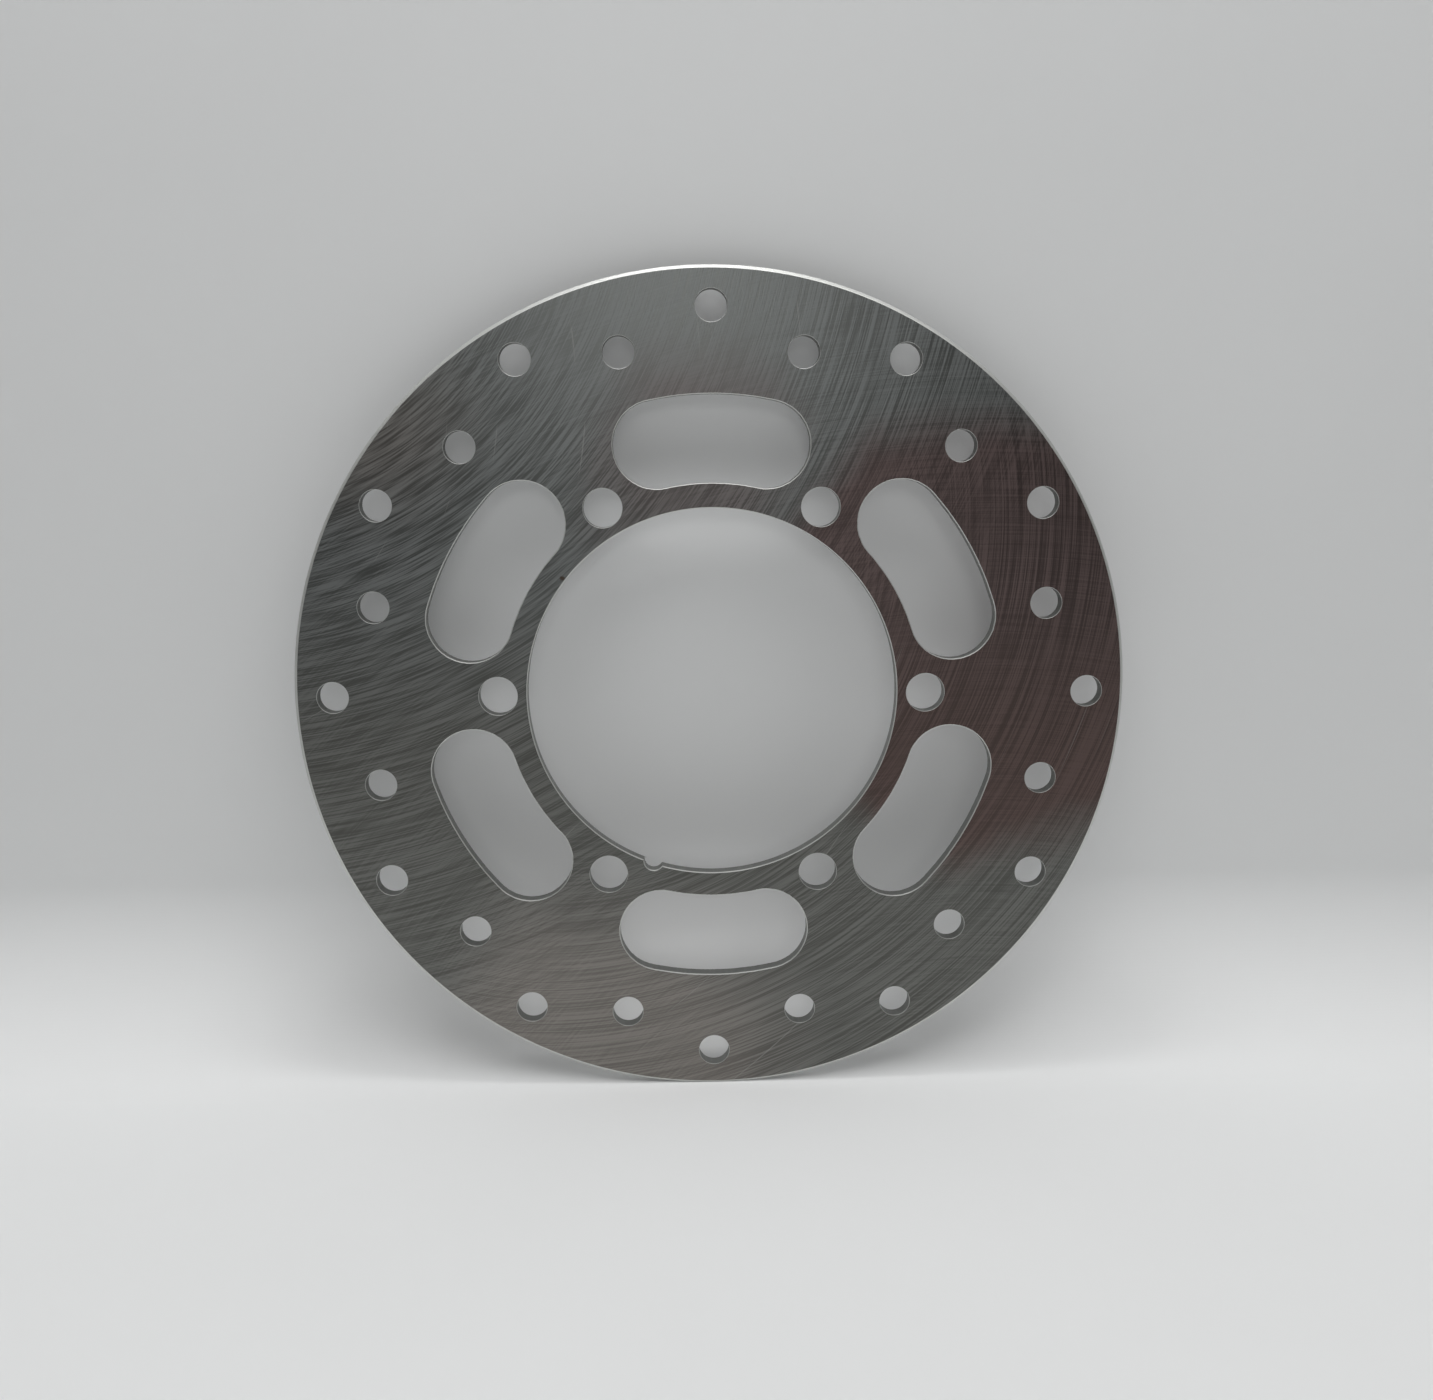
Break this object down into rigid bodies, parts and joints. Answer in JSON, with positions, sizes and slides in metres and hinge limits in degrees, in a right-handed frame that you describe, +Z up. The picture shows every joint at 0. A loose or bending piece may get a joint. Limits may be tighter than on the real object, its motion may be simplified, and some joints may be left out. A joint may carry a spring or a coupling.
{
  "type": "motorcycle brake disc rotor",
  "caption": "Flat fixed motorcycle brake disc with a hub bore, bolt holes, kidney slots and a drilled friction band.",
  "frame": {"origin": "centre of the bore in the hub-side face, the plane that seats on the wheel hub", "axes": "+Y along the disc's axis, out of the hub-side face; -Y out of the outboard face; +Z up with the disc upright, as on the wheel"},
  "size_m": [0.22, 0.004, 0.22],
  "materials": {
    "ground_stainless_steel": "surface-ground, dull, bare"
  },
  "bodies": {
    "root": {"brake_disc": "ground_stainless_steel"}
  },
  "joints": []
}
